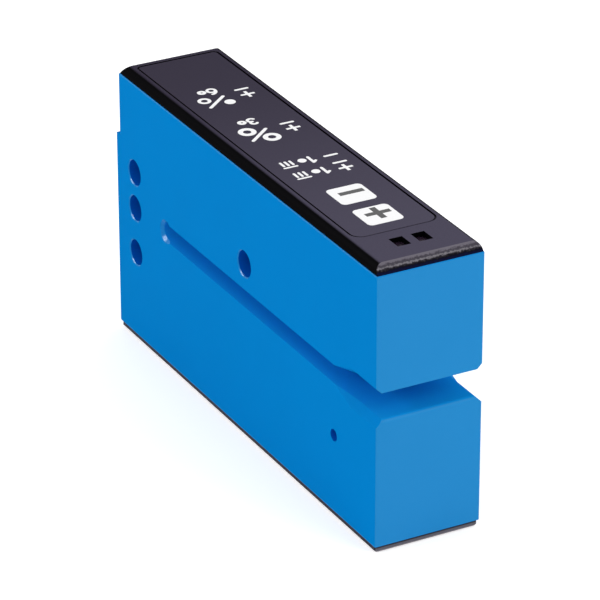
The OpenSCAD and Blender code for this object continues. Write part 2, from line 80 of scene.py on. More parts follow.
# %% A socket that can be calculated with
class Wire:
    def __init__(self, tree, socket=None):
        self.tree = tree
        self.socket = socket

    def add(self, kind, sockets, out=0, **settings):
        made = self.tree.nodes.new("ShaderNode" + kind)
        for name, value in settings.items():
            if name == "stops":
                band = made.color_ramp.elements
                while len(band) < len(value):
                    band.new(0.5)
                for stop, (place, shade) in zip(band, value):
                    stop.position = place
                    stop.color = shade
            else:
                setattr(made, name, value)
        for key, value in sockets.items():
            if isinstance(value, Wire):
                self.tree.links.new(value.socket, made.inputs[key])
            else:
                made.inputs[key].default_value = value
        return Wire(self.tree, made.outputs[out] if made.outputs else None)

    def math(self, operation, left, right):
        return self.add("Math", {0: left, 1: right}, operation=operation)

    def __add__(self, other):
        return self.math("ADD", self, other)

    def __sub__(self, other):
        return self.math("SUBTRACT", self, other)

    def __rsub__(self, other):
        return self.math("SUBTRACT", other, self)

    def __mul__(self, other):
        return self.math("MULTIPLY", self, other)

    __radd__ = __add__
    __rmul__ = __mul__


# A Mix node has sockets for each kind of value: for colours they are the inputs 6 and 7 and output 2.
def blend_colour(share, first, second):
    ends = [c if isinstance(c, Wire) else (*c, 1) for c in (first, second)]
    return share.add("Mix", {0: share, 6: ends[0], 7: ends[1]}, out=2, data_type="RGBA")


print("nodes can now be written as", "1 - mask")

# %% [markdown]
# A material starts with the place of each surface point, measured on the object itself. It is
# a length in metres, so a noise of scale 2000 has grains of about half a millimetre. A second
# helper ends the graph: it makes the shader and sets or links its sockets.

# %% How a finish begins and ends
def begin(name):
    made = bpy.data.materials.new(name)
    made.use_nodes = True
    made.node_tree.nodes.clear()
    place = Wire(made.node_tree).add("TexCoord", {}, out="Object")
    return made, place


def noise(place, scale, detail=2.0, rough=0.5):
    return place.add("TexNoise", {"Vector": place, "Scale": scale, "Detail": detail,
                                  "Roughness": rough})


def along_axis(vector, axis):
    return vector.add("SeparateXYZ", {"Vector": vector}, out=axis)


def fade(value, low, high):
    return value.add("MapRange", {"Value": value, "From Min": low, "From Max": high},
                     interpolation_type="SMOOTHSTEP")


def bump(height, strength, depth):
    return height.add("Bump", {"Height": height, "Strength": strength, "Distance": depth})


def end(place, **sockets):
    named = {key.replace("_", " "): value for key, value in sockets.items()}
    shader = place.add("BsdfPrincipled", named)
    place.add("OutputMaterial", {"Surface": shader})


print("helpers ready:", begin.__name__, noise.__name__, bump.__name__, end.__name__)

# %% [markdown]
# The casting is painted in a satin blue. Such a coat is even, but not perfectly flat: it dries with
# a faint orange peel and its colour drifts a little between thick and thin places. The long sides
# are nearly matt, or they would look milky where they turn away from the eye. The ends are glossier,
# and their paint is a touch paler as painted light. Edges keep less paint, so they get their own pale
# coat. The slot's paint is brighter and bluer as painted light, less so towards the open mouth, and
# the holes' paint is darker as painted shade.

# %% Satin blue paint
def blue_coat(name, thin, thick, rough, gloss, at_mouth=None):
    made, place = begin(name)
    drift = noise(place, 70.0, 3.0)
    colour = blend_colour(drift, thin, thick)
    # A second colour can take over towards the mouth; the slot's paint uses it to lessen its painted
    # light there.
    if at_mouth:
        outward = fade(along_axis(place, "X"), (REAR + FRONT - MOUTH) * MM, (REAR + FRONT) * MM)
        colour = blend_colour(outward, colour, at_mouth)
    peel = noise(place, 1500.0, 1.0)
    grit = noise(place, 5200.0, 2.0)
    end(place,
        Base_Color=colour,
        Roughness=rough + 0.1 * drift,
        Specular_IOR_Level=gloss,
        Normal=bump(0.7 * peel + 0.3 * grit, 0.12, 0.00004))
    return made


BLUE = blue_coat("blue_side_paint", (0.0, 0.197, 0.548), (0.0, 0.212, 0.577), 0.5, 0.003)
# The ends' paint is a touch paler than the sides' as painted light.
BLUE_END_PAINTED_LIGHT = blue_coat("blue_end_painted_light", (0.004, 0.209, 0.51), (0.008, 0.223, 0.54), 0.4, 0.15)
BLUE_EDGE = blue_coat("blue_edge_paint", (0.0, 0.19, 0.53), (0.0, 0.205, 0.56), 0.2, 0.14)
# The slot's paint is brighter and bluer than the sides' as painted light, fading to a plainer blue at the
# mouth.
BLUE_SLOT_PAINTED_LIGHT = blue_coat("blue_slot_painted_light", (0.004, 0.24, 0.70), (0.006, 0.26, 0.74), 0.55, 0.0,
                      (0.004, 0.23, 0.59))
# The holes' paint is darker than the sides' as painted shade.
BLUE_HOLE_PAINTED_SHADE = blue_coat("blue_hole_painted_shade", (0.0, 0.09, 0.47), (0.0, 0.10, 0.51), 0.55, 0.0)
print("paints:", [m.name for m in (BLUE, BLUE_END_PAINTED_LIGHT, BLUE_EDGE, BLUE_SLOT_PAINTED_LIGHT, BLUE_HOLE_PAINTED_SHADE)])

# %% [markdown]
# The black pieces are moulded. The mould of the cover is spark-eroded, which leaves a fine
# grain that breaks each highlight into specks. One recipe serves all the moulded pieces: a grain
# of two sizes, a tone that drifts a little, and a roughness that follows the grain.

# %% Moulded plastic
def moulded(name, tone, rough, grain, depth, gloss=0.5):
    made, place = begin(name)
    fine = noise(place, grain, 2.0, 0.6)
    coarse = noise(place, grain * 0.31, 1.0)
    drift = noise(place, 90.0, 2.0)
    darker = tuple(0.82 * v for v in tone)
    paler = tuple(1.18 * v for v in tone)
    end(place,
        Base_Color=blend_colour(0.6 * drift + 0.4 * fine, darker, paler),
        Roughness=rough - 0.06 + 0.12 * coarse,
        Specular_IOR_Level=gloss,
        Normal=bump(0.65 * fine + 0.35 * coarse, 0.5, depth))
    return made


PLATE = moulded("plate_plastic", (0.014, 0.014, 0.022), 0.5, 3000.0, 0.00004, 0.1)
# The rim chamfer's pale grey is painted light.
PLATE_RIM_PAINTED_LIGHT = moulded("plate_rim_painted_light", (0.40, 0.375, 0.40), 0.5, 3000.0, 0.00004, 0.1)
CARRIER = moulded("carrier_plastic", (0.02, 0.02, 0.022), 0.5, 2600.0, 0.00003)
SWITCH = moulded("switch_plastic", (0.03, 0.03, 0.034), 0.45, 2600.0, 0.00003)
STEM = moulded("stem_plastic", (0.62, 0.58, 0.48), 0.4, 2600.0, 0.00002)
CHIP = moulded("chip_black", (0.011, 0.011, 0.013), 0.5, 3400.0, 0.00003)
POTTED = moulded("potted_block", (0.06, 0.045, 0.035), 0.55, 900.0, 0.00008)
SHEATH = moulded("wire_sheath", (0.25, 0.27, 0.3), 0.35, 2200.0, 0.00002)
print("moulded:", [m.name for m in (PLATE, PLATE_RIM_PAINTED_LIGHT, CARRIER, SWITCH, STEM, CHIP, POTTED, SHEATH)])

# %% [markdown]
# The cover is one moulding. Its top is eroded to an even violet grey, with a painted sheen that makes
# it a little paler towards the mouth. The long rounded sides are painted near black as painted shade,
# and the slopes at both ends carry a band with a ragged edge: a dark blue painted reflection of the
# casting at the foot, a bright painted highlight in the middle and a pale painted highlight at the top
# edge. The way a surface faces, and its height on the slope, choose between these colours, so one
# material serves the whole cover.

# %% Grained cover
def eroded(place, grain):
    # The paler tone towards the mouth is a painted sheen.
    paler = fade(along_axis(place, "X"), (REAR + 5) * MM, (REAR + FRONT) * MM)
    low = blend_colour(paler, (0.030, 0.025, 0.042), (0.057, 0.051, 0.078))
    high = blend_colour(paler, (0.038, 0.032, 0.053), (0.072, 0.066, 0.100))
    return blend_colour(grain, low, high)


def amount(facing, axis):
    return facing.math("ABSOLUTE", along_axis(facing, axis), 0.0)


def upright(facing):
    return 1 - fade(amount(facing, "Z"), 0.9, 0.996)


COVER, place = begin("grained_cover_plastic")
facing = place.add("TexCoord", {}, out="Normal")
fine = noise(place, 3600.0, 2.0, 0.6)
coarse = noise(place, 2600.0, 3.0, 0.7)
to_end = fade(amount(facing, "X"), 0.35, 0.65)
sloping = to_end * fade(along_axis(facing, "Z"), 0.2, 0.45)
RAGGED = 0.9 * MM
climb = fade(along_axis(place, "Z") + RAGGED * (coarse - 0.5), RIM * MM, COVER_TOP * MM)
# The band's colours are painted: a dark blue painted reflection at the foot, a bright painted highlight
# in the middle, a pale painted highlight at the top edge.
painted_highlight_band = climb.add("ValToRGB", {"Fac": climb}, stops=[
    (0.0, (0.004, 0.006, 0.03, 1)), (0.20, (0.004, 0.0035, 0.006, 1)),
    (0.40, (0.03, 0.027, 0.034, 1)), (0.53, (0.20, 0.19, 0.21, 1)),
    (0.66, (0.060, 0.055, 0.068, 1)), (0.82, (0.050, 0.045, 0.058, 1)),
    (0.95, (0.13, 0.12, 0.145, 1))])
# Upright faces are painted near black as painted shade.
upper = blend_colour(upright(facing), eroded(place, fine), (0.0012, 0.0011, 0.0016))
end(place,
    Base_Color=blend_colour(sloping, upper, painted_highlight_band),
    Roughness=0.44 + 0.12 * coarse,
    Specular_IOR_Level=0.005,
    Normal=bump(0.65 * fine + 0.35 * coarse, 0.4, 0.00005))
print("cover:", COVER.name)

# %% [markdown]
# The key foil is a film with the cover's tone, including its painted sheen towards the mouth, and a
# finer grain. Upright faces take a near-black colour, unless they look towards one of the ends.

# %% Film of the key foil
FOIL, place = begin("key_foil_film")
facing = place.add("TexCoord", {}, out="Normal")
fine = noise(place, 5200.0, 2.0, 0.6)
to_end = fade(amount(facing, "X"), 0.5, 0.9)
# The top carries the cover's painted sheen; upright faces that don't look towards an end are near black.
end(place,
    Base_Color=blend_colour(upright(facing) * (1 - to_end), eroded(place, fine),
                            (0.002, 0.0018, 0.003)),
    Roughness=0.4 + 0.12 * fine,
    Specular_IOR_Level=0.01,
    Normal=bump(fine, 0.4, 0.00002))
print("foil:", FOIL.name)

# %% [markdown]
# The prints on the foil are thin layers of ink. Screen ink is matt and slightly uneven in
# density, like paper. White stays well below full brightness, so that light still models it.

# %% Screen ink
def ink(name, thin, full):
    made, place = begin(name)
    density = noise(place, 2600.0, 3.0, 0.6)
    end(place,
        Base_Color=blend_colour(density, thin, full),
        Roughness=0.5 + 0.12 * density,
        Specular_IOR_Level=0.2,
        Normal=bump(density, 0.15, 0.00001))
    return made


WHITE_INK = ink("white_ink", (0.84, 0.84, 0.85), (0.90, 0.90, 0.91))
GREY_INK = ink("grey_ink", (0.075, 0.075, 0.078), (0.095, 0.095, 0.098))
print("inks:", WHITE_INK.name, GREY_INK.name)

# %% [markdown]
# Rubber frames and rings seal the pockets and the plug. Rubber is matt, with a dusty bloom that
# gathers in soft clouds, so roughness and tone follow the same slow noise.

# %% Seal rubber
RUBBER, place = begin("seal_rubber")
bloom = noise(place, 260.0, 4.0, 0.6)
end(place,
    Base_Color=blend_colour(bloom, (0.010, 0.010, 0.010), (0.022, 0.022, 0.023)),
    Roughness=0.62 + 0.2 * bloom,
    Specular_IOR_Level=0.3,
    Normal=bump(noise(place, 2400.0, 3.0), 0.3, 0.00003))
print("rubber:", RUBBER.name)

# %% [markdown]
# Three metals are used: nickel on the plug, gold on its pins, and the satin cans of the sensing
# pair. Turned metal shows fine rings around its axis, so the noise is squeezed along one
# direction with a Mapping node before it becomes a bump.

# %% Metals
def turned_metal(name, dull, bright, rough, squeeze):
    made, place = begin(name)
    rings = noise(place.add("Mapping", {"Vector": place, "Scale": squeeze}), 900.0, 2.0)
    stain = noise(place, 220.0, 4.0, 0.65)
    end(place,
        Base_Color=blend_colour(stain, dull, bright),
        Metallic=1.0,
        Roughness=rough + 0.14 * stain,
        Normal=bump(rings, 0.1, 0.00002))
    return made


NICKEL = turned_metal("nickel_plating", (0.50, 0.48, 0.43), (0.66, 0.64, 0.59), 0.2, (9, 1, 1))
GOLD = turned_metal("gold_plating", (0.68, 0.46, 0.17), (0.82, 0.60, 0.26), 0.16, (9, 1, 1))
CAN = turned_metal("capsule_metal", (0.44, 0.45, 0.48), (0.56, 0.57, 0.60), 0.3, (1, 1, 9))
print("metals:", NICKEL.name, GOLD.name, CAN.name)

# %% [markdown]
# A circuit board is glass cloth under green lacquer. Copper tracks show through as paler lines.
# A Brick texture gives runs of lines at right angles. Where its mortar is, there is copper.

# %% Circuit board
BOARD, place = begin("green_lacquer")
tracks = place.add("TexBrick", {
    "Vector": place, "Scale": 420.0, "Mortar Size": 0.06, "Mortar Smooth": 0.3, "Bias": 0.0,
    "Brick Width": 1.7, "Row Height": 0.55}, out="Fac", offset=0.37, squash=0.6)
cloth = noise(place, 1900.0, 2.0)
end(place,
    Base_Color=blend_colour(0.75 * tracks + 0.2 * cloth, (0.010, 0.10, 0.035), (0.05, 0.25, 0.10)),
    Roughness=0.3 + 0.1 * cloth,
    Normal=bump(tracks, 0.3, 0.00003))
print("board:", BOARD.name)

# %% [markdown]
# The indicator windows hold clear blocks of tinted plastic over milky lamps. Seen from outside they
# are almost black with a violet tinge, and smoother than the cover. The lamps have a milky lens.

# %% Tinted windows and lamps
TINT, place = begin("window_tint")
depth = noise(place, 480.0, 2.0)
end(place,
    Base_Color=blend_colour(depth, (0.010, 0.006, 0.012), (0.024, 0.013, 0.027)),
    Roughness=0.16 + 0.1 * depth,
    Specular_IOR_Level=0.3)

LAMP, place = begin("lamp_lens")
milk = noise(place, 700.0, 3.0)
end(place,
    Base_Color=blend_colour(milk, (0.68, 0.67, 0.60), (0.80, 0.79, 0.72)),
    Roughness=0.2 + 0.1 * milk)
print("windows:", TINT.name, LAMP.name)

# %% [markdown]
# The casting is one piece of metal, but the frame holds it as a rear block and two arms that meet
# face to face. Their copies are joined, the two layers of faces at the joint are taken away and
# the rims are welded. All of this is done in millimetres, because several of Blender's mesh tools
# take very short lengths for nothing.

# %% Copies of the exact solids
WELD = 0.002
FLAT = math.radians(0.6)


def mm_copy(*nodes):
    body = bmesh.new()
    for node in nodes:
        body.from_mesh(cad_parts[node].data)
    for face in body.faces:
        face.material_index = 0
    bmesh.ops.scale(body, vec=(1 / MM, 1 / MM, 1 / MM), verts=body.verts)
    bmesh.ops.translate(body, vec=(-REAR, 0, 0), verts=body.verts)
    bmesh.ops.remove_doubles(body, verts=body.verts, dist=WELD)
    return body


def open_joint(body, x):
    caps = [f for f in body.faces if all(abs(v.co.x - x) < WELD for v in f.verts)]
    bmesh.ops.delete(body, geom=caps, context="FACES_ONLY")
    loose = [e for e in body.edges if not e.link_faces]
    bmesh.ops.delete(body, geom=loose, context="EDGES")
    print("faces taken away at the joint:", len(caps))


def flatten(body):
    bmesh.ops.dissolve_limit(body, angle_limit=FLAT, verts=body.verts, edges=body.edges)
    bmesh.ops.recalc_face_normals(body, faces=body.faces)
    gaps = sum(1 for e in body.edges if not e.is_manifold)
    print("faces left:", len(body.faces), "open edges:", gaps)


casting = mm_copy("fork_housing", "fork_upper_arm", "fork_lower_arm")
open_joint(casting, JOINT)
flatten(casting)

# %% [markdown]
# The lower arm's mouth is eased along both side edges, so that a web of labels slides in without
# snagging. The solid has a narrow chamfer there, and the real one is about twice as wide. The
# cutter for it is a three-sided bar, which runs out to nothing where the mouth begins.

# %% Cutter for the mouth
MOUTH_CUT = 1.15
PAST = 0.3


def edge_cutter(side):
    cutter = bmesh.new()
    lip = SLOT_FLOOR - MOUTH_DROP
    stations = [(FRONT - MOUTH, SLOT_FLOOR, 0.0),
                (FRONT - MOUTH_FLAT, lip, MOUTH_CUT),
                (FRONT + PAST, lip, MOUTH_CUT)]
    rows = []
    for x, z, cut in stations:
        inner = (x, side * (HALF - cut - PAST), z + PAST)
        lower = (x, side * (HALF + PAST), z - cut - PAST)
        outer = (x, side * (HALF + PAST), z + PAST)
        rows.append([cutter.verts.new(corner) for corner in (inner, lower, outer)])
    cutter.faces.new(rows[0])
    cutter.faces.new(rows[-1])
    for near, far in zip(rows, rows[1:]):
        for k in range(3):
            n = (k + 1) % 3
            cutter.faces.new((near[k], near[n], far[n], far[k]))
    bmesh.ops.recalc_face_normals(cutter, faces=cutter.faces)
    return cutter


print("chamfer of the mouth:", MOUTH_CUT, "mm")

# %% [markdown]
# A Boolean modifier takes the cutter away from the casting. It needs two objects, so both meshes become
# objects for a moment and are deleted again. An even bevel would not do, because this chamfer grows
# along its edge.

# %% Wider chamfers at the mouth
def carve(body, cutter):
    solids = []
    for shape in (body, cutter):
        mesh = bpy.data.meshes.new("carving")
        shape.to_mesh(mesh)
        shape.free()
        solids.append(bpy.data.objects.new("carving", mesh))
        bpy.context.scene.collection.objects.link(solids[-1])
    taken = solids[0].modifiers.new("taken_away", "BOOLEAN")
    taken.object = solids[1]
    taken.solver = "EXACT"
    carved = bmesh.new()
    carved.from_object(solids[0], bpy.context.evaluated_depsgraph_get())
    for mesh in [solid.data for solid in solids]:
        bpy.data.meshes.remove(mesh)
    bmesh.ops.remove_doubles(carved, verts=carved.verts, dist=WELD)
    return carved


for side in (-1, 1):
    casting = carve(casting, edge_cutter(side))
flatten(casting)

# %% [markdown]
# No cast or moulded edge is a knife edge. A narrow bevel catches the light as the thin pale line that
# the eye reads as thickness. The solid has its round corners and chamfered holes already, so only the
# upper and the lower rim are bevelled here. A rim is taken whole, with the short edges round its
# corners: a bevel is narrowed to what the shortest edge beside it allows. What came out is measured.

# %% Softened edges
SHARP = 28
LEVEL = 0.01


def soften(body, width, wanted, steps=2, paint=0):
    folded = [e for e in body.edges
              if len(e.link_faces) == 2 and e.calc_face_angle() > math.radians(SHARP)]
    edges = [e for e in folded if wanted([v.co for v in e.verts])]
    run = sum(e.calc_length() for e in edges)
    made = bmesh.ops.bevel(body, geom=edges, offset=width, offset_type="OFFSET", segments=steps,
                           profile=0.5, affect="EDGES", clamp_overlap=True, material=paint)
    across = sum(f.calc_area() for f in made["faces"]) / run
    print(f"softened {len(edges)} edges, {run:.0f} mm long, the new faces are {across:.3f} mm across")


print("edges count as sharp from", SHARP, "degrees")

# %% [markdown]
# A worked copy becomes a piece of the scene in one step: its faces are turned outwards, it goes back
# to metres, gets its finishes and is shaded smooth up to the sharp edges. Then it is tied to the body
# that carries it, and takes the place of the bare solids.

# %% From a copy to a piece
def finish_piece(body, name, node_names, slot, *finishes, rides="sensor_body", smooth=SHARP):
    bmesh.ops.recalc_face_normals(body, faces=body.faces)
    bmesh.ops.translate(body, vec=(REAR, 0, 0), verts=body.verts)
    bmesh.ops.scale(body, vec=(MM, MM, MM), verts=body.verts)
    mesh = bpy.data.meshes.new(name)
    body.to_mesh(mesh)
    body.free()
    for layer in [a for a in mesh.attributes if a.name == "custom_normal"]:
        mesh.attributes.remove(layer)
    for finish in finishes:
        mesh.materials.append(finish)
    mesh.polygons.foreach_set("use_smooth", [True] * len(mesh.polygons))
    mesh.set_sharp_from_angle(angle=math.radians(smooth))
    piece = bpy.data.objects.new(name, mesh)
    bpy.context.scene.collection.objects.link(piece)
    weigh = piece.modifiers.new("even_normals", "WEIGHTED_NORMAL")
    weigh.keep_sharp = True
    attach(piece, rides)
    if node_names:
        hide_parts(*node_names)
    print(name, "has", len(mesh.polygons), "faces")


print("pieces are made by", finish_piece.__name__)

# %% [markdown]
# The paint is chosen face by face, from where a face lies and which way it looks: the front ends
# with their paler paint as painted light, the slanting edges, the slot with its mouth in a brighter
# paint as painted light, the holes in a darker paint as painted shade, and the plain sides for all the
# rest.

# %% Paint of the casting
PAINTS = [BLUE, BLUE_EDGE, BLUE_END_PAINTED_LIGHT, BLUE_SLOT_PAINTED_LIGHT, BLUE_HOLE_PAINTED_SHADE]
SLOT_MIDDLE = (SLOT_FLOOR + SLOT_TOP) / 2
NOSE = 1.2
MOUTH_HALF = 3.5
BEVEL_ZONE = 0.7
SKIN = 0.1
REAR_WALL = 1.5
RIM_WALL = 1
SLOT_END = 2
SLOT_MARGIN = 0.2


def paint_choice(face):
    x, y, z = face.calc_center_median()
    ahead, aside, upward = face.normal
    # Front ends and the nose take the paler end paint, painted light.
    if x > FRONT - NOSE and ahead > 0.55:
        return BLUE_END_PAINTED_LIGHT
    if x > FRONT - MOUTH:
        # Flats in the mouth take the slot's brighter paint, painted light.
        in_mouth = abs(upward) > 0.8 and abs(z - SLOT_MIDDLE) < MOUTH_HALF
        return BLUE_SLOT_PAINTED_LIGHT if in_mouth else BLUE
    if abs(y) > HALF - BEVEL_ZONE and 0.3 < abs(aside) < 0.9:
        return BLUE_EDGE
    inside = abs(aside) < 0.3 and abs(y) < HALF - SKIN and x > REAR_WALL
    if not inside or z > RIM - RIM_WALL:
        return BLUE
    # Slot faces take the brighter paint as painted light, holes and other inner faces the darker paint as
    # painted shade.
    in_slot = x > JOINT - SLOT_END and SLOT_FLOOR - SLOT_MARGIN < z < SLOT_TOP + SLOT_MARGIN
    return BLUE_SLOT_PAINTED_LIGHT if in_slot else BLUE_HOLE_PAINTED_SHADE


casting.normal_update()
for face in casting.faces:
    face.material_index = PAINTS.index(paint_choice(face))
print("faces per paint:", [sum(f.material_index == k for f in casting.faces) for k in range(len(PAINTS))])

# %% [markdown]
# The two rims are found by their height and by lying near the outside, since the pockets have edges at
# the same height. Their bevels get the pale paint of edges, and the casting is finished.

# %% Casting
RIM_BEVEL = 0.14
RIM_ZONE = 0.35
REAR_STEP = 1.6


def on_rim(height):
    def outside(p):
        return abs(p.y) > HALF - RIM_ZONE or p.x < REAR_STEP or p.x > FRONT - RIM_ZONE

    def wanted(ends):
        return all(abs(p.z - height) < LEVEL and outside(p) for p in ends)
    return wanted


for height in (CASTING_FOOT, RIM):
    soften(casting, RIM_BEVEL, on_rim(height), paint=PAINTS.index(BLUE_EDGE))
finish_piece(casting, "fork_casting", ["fork_housing", "fork_upper_arm", "fork_lower_arm"],
             "housing_paint", *PAINTS)

# %% [markdown]
# The cover is a shallow moulded cap with rounded long edges and sloping ends, which the solid has. The
# edges of the foil's recess and of the two windows are softened on a copy of it, in the cover's own
# finish, because a mould can't make them perfectly sharp.

# %% Top cover
RECESS_BEVEL = 0.06
RECESS_REAR = 3.5
RECESS_FRONT = FRONT - 3


def recess_edge(ends):
    return all(p.z > COVER_TOP - LEVEL and RECESS_REAR < p.x < RECESS_FRONT for p in ends)


cover = mm_copy("top_cover")
flatten(cover)
soften(cover, RECESS_BEVEL, recess_edge)
finish_piece(cover, "grained_cover", ["top_cover"], "cover_plastic", COVER)

# %% [markdown]
# The key foil is a sheet of film glued into a shallow recess. Its cut edge is crisp, so the bevel is
# only a few hundredths of a millimetre wide.

# %% Key foil
FOIL_BEVEL = 0.04


def foil_edge(ends):
    return all(p.z > FOIL_TOP - LEVEL for p in ends)


foil = mm_copy("keypad_overlay")
flatten(foil)
soften(foil, FOIL_BEVEL, foil_edge, steps=1)
finish_piece(foil, "key_foil_sheet", ["keypad_overlay"], "key_foil", FOIL)

# %% [markdown]
# The plate under the lower arm is a flat moulded lid, and only its rim shows. Both of its ends are
# painted a paler grey than the sides as painted light, and darker where they meet the casting as
# painted shade. The height of a point on the plate fades the one into the other.

# %% Ends of the plate
SEAM_LOW = 0.66
SEAM_HIGH = 0.95
PLATE_END_PAINTED_LIGHT_AND_SHADE, place = begin("plate_end_painted_light_and_shade")
end_texture = noise(place, 3000.0, 2.0, 0.6)
# The paler grey of the ends is painted light, and the darker band where they meet the casting is painted
# shade.
painted_shade_under_casting = fade(along_axis(place, "Z"), SEAM_LOW * MM, SEAM_HIGH * MM)
painted_light_grey = blend_colour(end_texture, (0.096, 0.092, 0.112), (0.120, 0.115, 0.138))
end(place,
    Base_Color=blend_colour(painted_shade_under_casting, painted_light_grey, (0.012, 0.012, 0.018)),
    Roughness=0.45 + 0.1 * end_texture,
    Specular_IOR_Level=0.1,
    Normal=bump(end_texture, 0.4, 0.00003))
print("sawn ends:", PLATE_END_PAINTED_LIGHT_AND_SHADE.name)

# %% [markdown]
# The plate's rim stands a little proud of the solid's, and its lower edge has a chamfer, which looks
# down at the pale floor. The chamfer is painted pale grey as painted light, so it is the brighter
# part. The rim's corners are moved outwards, then the lower edge is cut.

# %% Bottom plate
PLATE_PAINTS = [PLATE, PLATE_RIM_PAINTED_LIGHT, PLATE_END_PAINTED_LIGHT_AND_SHADE]
RIM_DEPTH = 1.15
RIM_OUT = 0.4
RIM_CHAMFER = 0.35
FOOT = 0.05


def foot_edge(ends):
    return all(p.z < FOOT for p in ends)


plate = mm_copy("bottom_plate")
flatten(plate)
for face in plate.faces:
    at_end = abs(face.normal.x) > 0.7
    face.material_index = PLATE_PAINTS.index(PLATE_END_PAINTED_LIGHT_AND_SHADE if at_end else PLATE)
rim = [v for v in plate.verts if abs(v.co.y) > HALF - RIM_DEPTH]
for vert in rim:
    vert.co.x += math.copysign(RIM_OUT, vert.co.x - FRONT / 2)
    vert.co.y += math.copysign(RIM_OUT, vert.co.y)
print("rim corners moved:", len(rim))
# The chamfer takes the pale grey rim colour, painted light.
soften(plate, RIM_CHAMFER, foot_edge, steps=1, paint=PLATE_PAINTS.index(PLATE_RIM_PAINTED_LIGHT))
finish_piece(plate, "plate_lid", ["bottom_plate"], "plate_plastic", *PLATE_PAINTS)

# %% [markdown]
# The legend is ink, a few hundredths of a millimetre thick. Each stroke is a ribbon with round
# ends, made as a closed solid: one outline for the top, one for the bottom and a wall between.
# A text object would need a typeface, and a picture would not stay sharp.

# %% Ink as thin solids
INK_UP = 0.025
INK_DOWN = 0.01


def ink_solid(body, outline, lift=0.0):
    low = [body.verts.new((x, y, FOIL_TOP - INK_DOWN)) for x, y in outline]
    high = [body.verts.new((x, y, FOIL_TOP + INK_UP + lift)) for x, y in outline]
    body.faces.new(high)
    body.faces.new(low[::-1])
    for i in range(len(low)):
        j = (i + 1) % len(low)
        body.faces.new((low[i], low[j], high[j], high[i]))


def cap(centre, start, half, steps=8):
    span = [start - math.pi * k / steps for k in range(steps + 1)]
    return [(centre[0] + half * math.cos(t), centre[1] + half * math.sin(t)) for t in span]


def ribbon(path, width):
    half = width / 2
    turns = []
    for i in range(len(path)):
        before = path[max(i - 1, 0)]
        after = path[min(i + 1, len(path) - 1)]
        turns.append(math.atan2(after[1] - before[1], after[0] - before[0]))
    left = [(p[0] - half * math.sin(t), p[1] + half * math.cos(t)) for p, t in zip(path, turns)]
    right = [(p[0] + half * math.sin(t), p[1] - half * math.cos(t)) for p, t in zip(path, turns)]
    tail = cap(path[-1], turns[-1] + math.pi / 2, half)
    head = cap(path[0], turns[0] - math.pi / 2, half)
    return left[1:-1] + tail + right[-2:0:-1] + head


print("ink stands", INK_UP, "mm above the foil")

# %% [markdown]
# The marks are plain figures, bars, rings and crosses. Strokes are drawn in their own little plane,
# u to the right and v up, and then laid on the foil: the marks look upside down from the
# mouth of the fork, because they are read from the plug's end.

# %% Strokes
def arc(cx, cy, rx, ry, start, stop, steps=20):
    span = [math.radians(start + (stop - start) * k / steps) for k in range(steps + 1)]
    return [(cx + rx * math.cos(t), cy + ry * math.sin(t)) for t in span]


def laid(points, x, y):
    return [(x + v, y - u) for u, v in points]


def stroke(body, points, x, y, width, lift=0.0):
    outline = ribbon(laid(points, x, y), width)
    ink_solid(body, outline, lift)


def bar(body, x, y, length, width):
    reach = (length - width) / 2
    stroke(body, [(-reach, 0), (reach, 0)], x, y, width)


print("marks with round ends:", stroke.__name__, bar.__name__)

# %% [markdown]
# Rings, discs and crosses have no ends, so they are made from their outlines. A ring is four circles, an
# inner and an outer one at the bottom and at the top, with faces from each circle to the next.

# %% Rings, discs and crosses
def circle(x, y, radius, steps):
    return arc(x, y, radius, radius, 0, 360, steps)[:-1]


def join_rows(body, rows):
    for i in range(len(rows)):
        for k in range(len(rows[i])):
            n = (k + 1) % len(rows[i])
            body.faces.new((rows[i - 1][k], rows[i - 1][n], rows[i][n], rows[i][k]))


def ring(body, x, y, radius, width, steps=40):
    inner = circle(x, y, radius - width / 2, steps)
    outer = circle(x, y, radius + width / 2, steps)
    low = FOIL_TOP - INK_DOWN
    high = FOIL_TOP + INK_UP
    rows = [[body.verts.new((u, v, z)) for u, v in edge]
            for edge, z in ((inner, low), (outer, low), (outer, high), (inner, high))]
    join_rows(body, rows)


def disc(body, x, y, radius):
    ink_solid(body, circle(x, y, radius, 32))


def cross(body, x, y, tall, wide, width, lift=0.0):
    h = width / 2
    a = tall / 2
    b = wide / 2
    outline = [(h, b), (h, h), (a, h), (a, -h), (h, -h), (h, -b),
               (-h, -b), (-h, -h), (-a, -h), (-a, h), (-h, h), (-h, b)]
    ink_solid(body, [(x + u, y + v) for u, v in outline], lift)


print("marks without ends:", ring.__name__, disc.__name__, cross.__name__)

# %% [markdown]
# A figure is two strokes, or a ring and a stroke. Where they overlap, the second lies a few
# thousandths higher, because two faces at one height would flicker. The sign for pulses is a comb: one
# long bar over three short ones.

# %% Figures and the comb of bars
OVERLAP = 0.004


def figure(body, which, x, y, width=0.48):
    if which == 1:
        stroke(body, [(0.15, 0.95), (0.15, -1.1)], x, y, width)
        stroke(body, [(-0.4, 0.5), (0.15, 0.95)], x, y, width, OVERLAP)
    if which == 3:
        stroke(body, arc(0, 0.5, 0.52, 0.5, 150, -85), x, y, width)
        stroke(body, arc(0, -0.5, 0.6, 0.55, 85, -150), x, y, width, OVERLAP)
    if which == 6:
        ring(body, x - 0.35, y, 0.66, width)
        stroke(body, arc(0.5, -0.35, 1.16, 1.35, 180, 95), x, y, width, OVERLAP)


def pulse(body, x, y, width=0.42):
    stroke(body, [(-1.05, 0.95), (1.05, 0.95)], x, y, width)
    for u in (-0.8, 0.0, 0.8):
        stroke(body, [(u, 0.25), (u, -1.05)], x, y, width)


print("composed marks:", figure.__name__, pulse.__name__)

# %% [markdown]
# The places of the marks follow three rows on the foil: a setting, its icon, and the keys that
# choose it, minus or plus. A ring and a disc stand for off and on, and a comb of bars for pulses.

